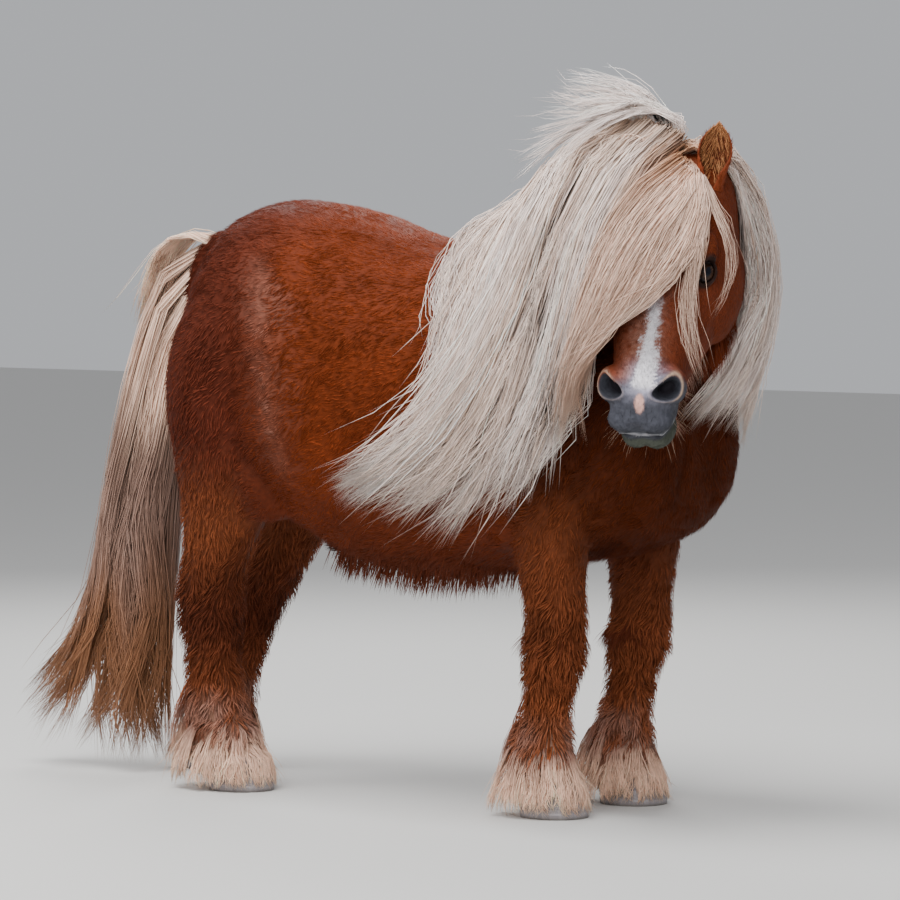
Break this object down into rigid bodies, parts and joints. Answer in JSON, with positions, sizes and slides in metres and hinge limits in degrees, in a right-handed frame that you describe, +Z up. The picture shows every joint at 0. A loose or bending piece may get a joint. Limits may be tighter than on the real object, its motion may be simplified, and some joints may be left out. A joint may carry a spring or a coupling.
{
  "type": "shetland pony",
  "caption": "Stocky small pony in its shaggy winter coat, standing with its head turned, with a long pale mane, forelock and tail and feathered feet; a still, life-size model.",
  "frame": {"origin": "on the ground, under the middle of the box that holds the whole pony, mane and tail included", "axes": "+Z up; the pony faces -Y, so its tail is towards +Y and its left side is +X; its head is turned towards -X"},
  "size_m": [0.6285, 1.5817, 1.1823],
  "materials": {
    "coat": "matte",
    "long_hair": "satin",
    "hoof_horn": "matte",
    "eye": "gloss"
  },
  "bodies": {
    "root": {"head": "coat", "ear_left": "coat", "ear_right": "coat", "eye_left": "eye", "eye_right": "eye", "neck": "long_hair", "torso": "coat", "tail": "long_hair", "leg_front_left": "coat", "leg_front_right": "coat", "leg_hind_left": "coat", "leg_hind_right": "coat", "hoof_front_left": "hoof_horn", "hoof_front_right": "hoof_horn", "hoof_hind_left": "hoof_horn", "hoof_hind_right": "hoof_horn"}
  },
  "joints": []
}
